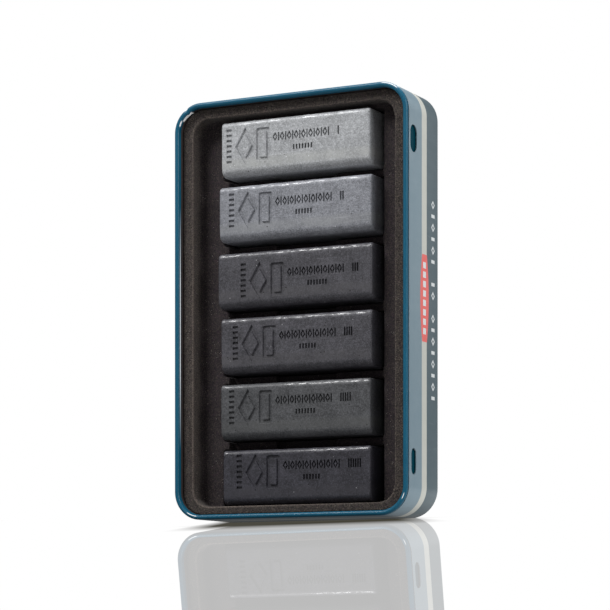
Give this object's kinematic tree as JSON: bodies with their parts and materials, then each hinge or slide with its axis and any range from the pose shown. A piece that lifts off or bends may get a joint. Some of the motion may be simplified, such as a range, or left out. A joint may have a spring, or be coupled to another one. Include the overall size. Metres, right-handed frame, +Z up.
{
  "type": "tin of charcoal blocks",
  "caption": "Shallow metal tin with a formed insert holding square drawing-charcoal blocks; tray, insert and blocks lift out of the nested lid.",
  "frame": {"origin": "centre of the tin's footprint, on the surface it stands on", "axes": "+Z up along the tin's long side as it stands on its short end, +Y from the open front to the back of the lid, +X to the right seen from the front"},
  "size_m": [0.0932, 0.027, 0.151],
  "materials": {
    "lid_enamel": "satin",
    "tray_enamel": "gloss",
    "insert_flock": "matte",
    "charcoal_light": "satin",
    "charcoal_medium": "satin",
    "charcoal_dark": "satin"
  },
  "bodies": {
    "lid": {"lid": "lid_enamel"},
    "tray": {"tray": "tray_enamel"},
    "insert": {"insert": "insert_flock"},
    "block_1": {"charcoal_block_1": "charcoal_light"},
    "block_2": {"charcoal_block_2": "charcoal_medium"},
    "block_3": {"charcoal_block_3": "charcoal_dark"},
    "block_4": {"charcoal_block_4": "charcoal_dark"},
    "block_5": {"charcoal_block_5": "charcoal_dark"},
    "block_6": {"charcoal_block_6": "charcoal_dark"}
  },
  "joints": [
    {"name": "tray_lift", "type": "slide", "parent": "lid", "child": "tray", "axis": [0, -1, 0], "range_m": [0, 0.03]},
    {"name": "insert_lift", "type": "slide", "parent": "tray", "child": "insert", "axis": [0, -1, 0], "range_m": [0, 0.027]},
    {"name": "block_1_lift", "type": "slide", "parent": "insert", "child": "block_1", "axis": [0, -1, 0], "range_m": [0, 0.024]},
    {"name": "block_2_lift", "type": "slide", "parent": "insert", "child": "block_2", "axis": [0, -1, 0], "range_m": [0, 0.024]},
    {"name": "block_3_lift", "type": "slide", "parent": "insert", "child": "block_3", "axis": [0, -1, 0], "range_m": [0, 0.024]},
    {"name": "block_4_lift", "type": "slide", "parent": "insert", "child": "block_4", "axis": [0, -1, 0], "range_m": [0, 0.024]},
    {"name": "block_5_lift", "type": "slide", "parent": "insert", "child": "block_5", "axis": [0, -1, 0], "range_m": [0, 0.024]},
    {"name": "block_6_lift", "type": "slide", "parent": "insert", "child": "block_6", "axis": [0, -1, 0], "range_m": [0, 0.024]}
  ]
}
